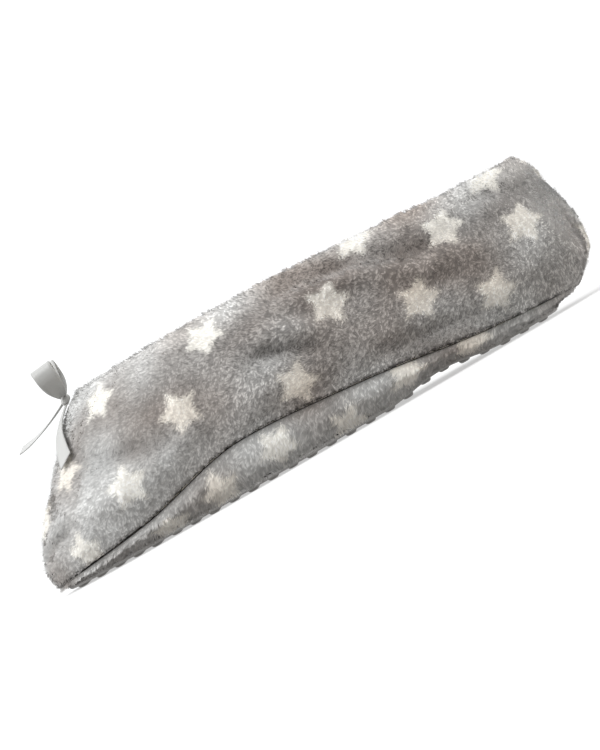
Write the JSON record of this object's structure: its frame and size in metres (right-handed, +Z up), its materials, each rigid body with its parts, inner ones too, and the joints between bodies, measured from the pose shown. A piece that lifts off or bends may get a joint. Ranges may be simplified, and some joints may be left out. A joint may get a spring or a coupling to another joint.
{
  "type": "slipper",
  "caption": "Plush ballerina slipper for a left foot: padded sole with grip dots, one soft fleece-lined upper with a rounded collar, and a ribbon bow at the throat.",
  "frame": {"origin": "centre of the bounding box's underside, on the floor", "axes": "+X runs from toe to heel, -Y points to the outer side of the foot, +Z points up"},
  "size_m": [0.2539, 0.0965, 0.0844],
  "materials": {
    "sole_cloth": "matte knit with rubber dots",
    "plush": "soft grey pile with cream stars",
    "lining": "cream curly fleece",
    "ribbon": "silver grey satin"
  },
  "bodies": {
    "root": {"outsole": "sole_cloth", "padded_sole": "plush", "insole": "lining", "upper": "plush", "bow_knot": "ribbon", "bow_loop_outer": "ribbon", "bow_loop_inner": "ribbon", "bow_tail_outer": "ribbon", "bow_tail_inner": "ribbon"}
  },
  "joints": []
}
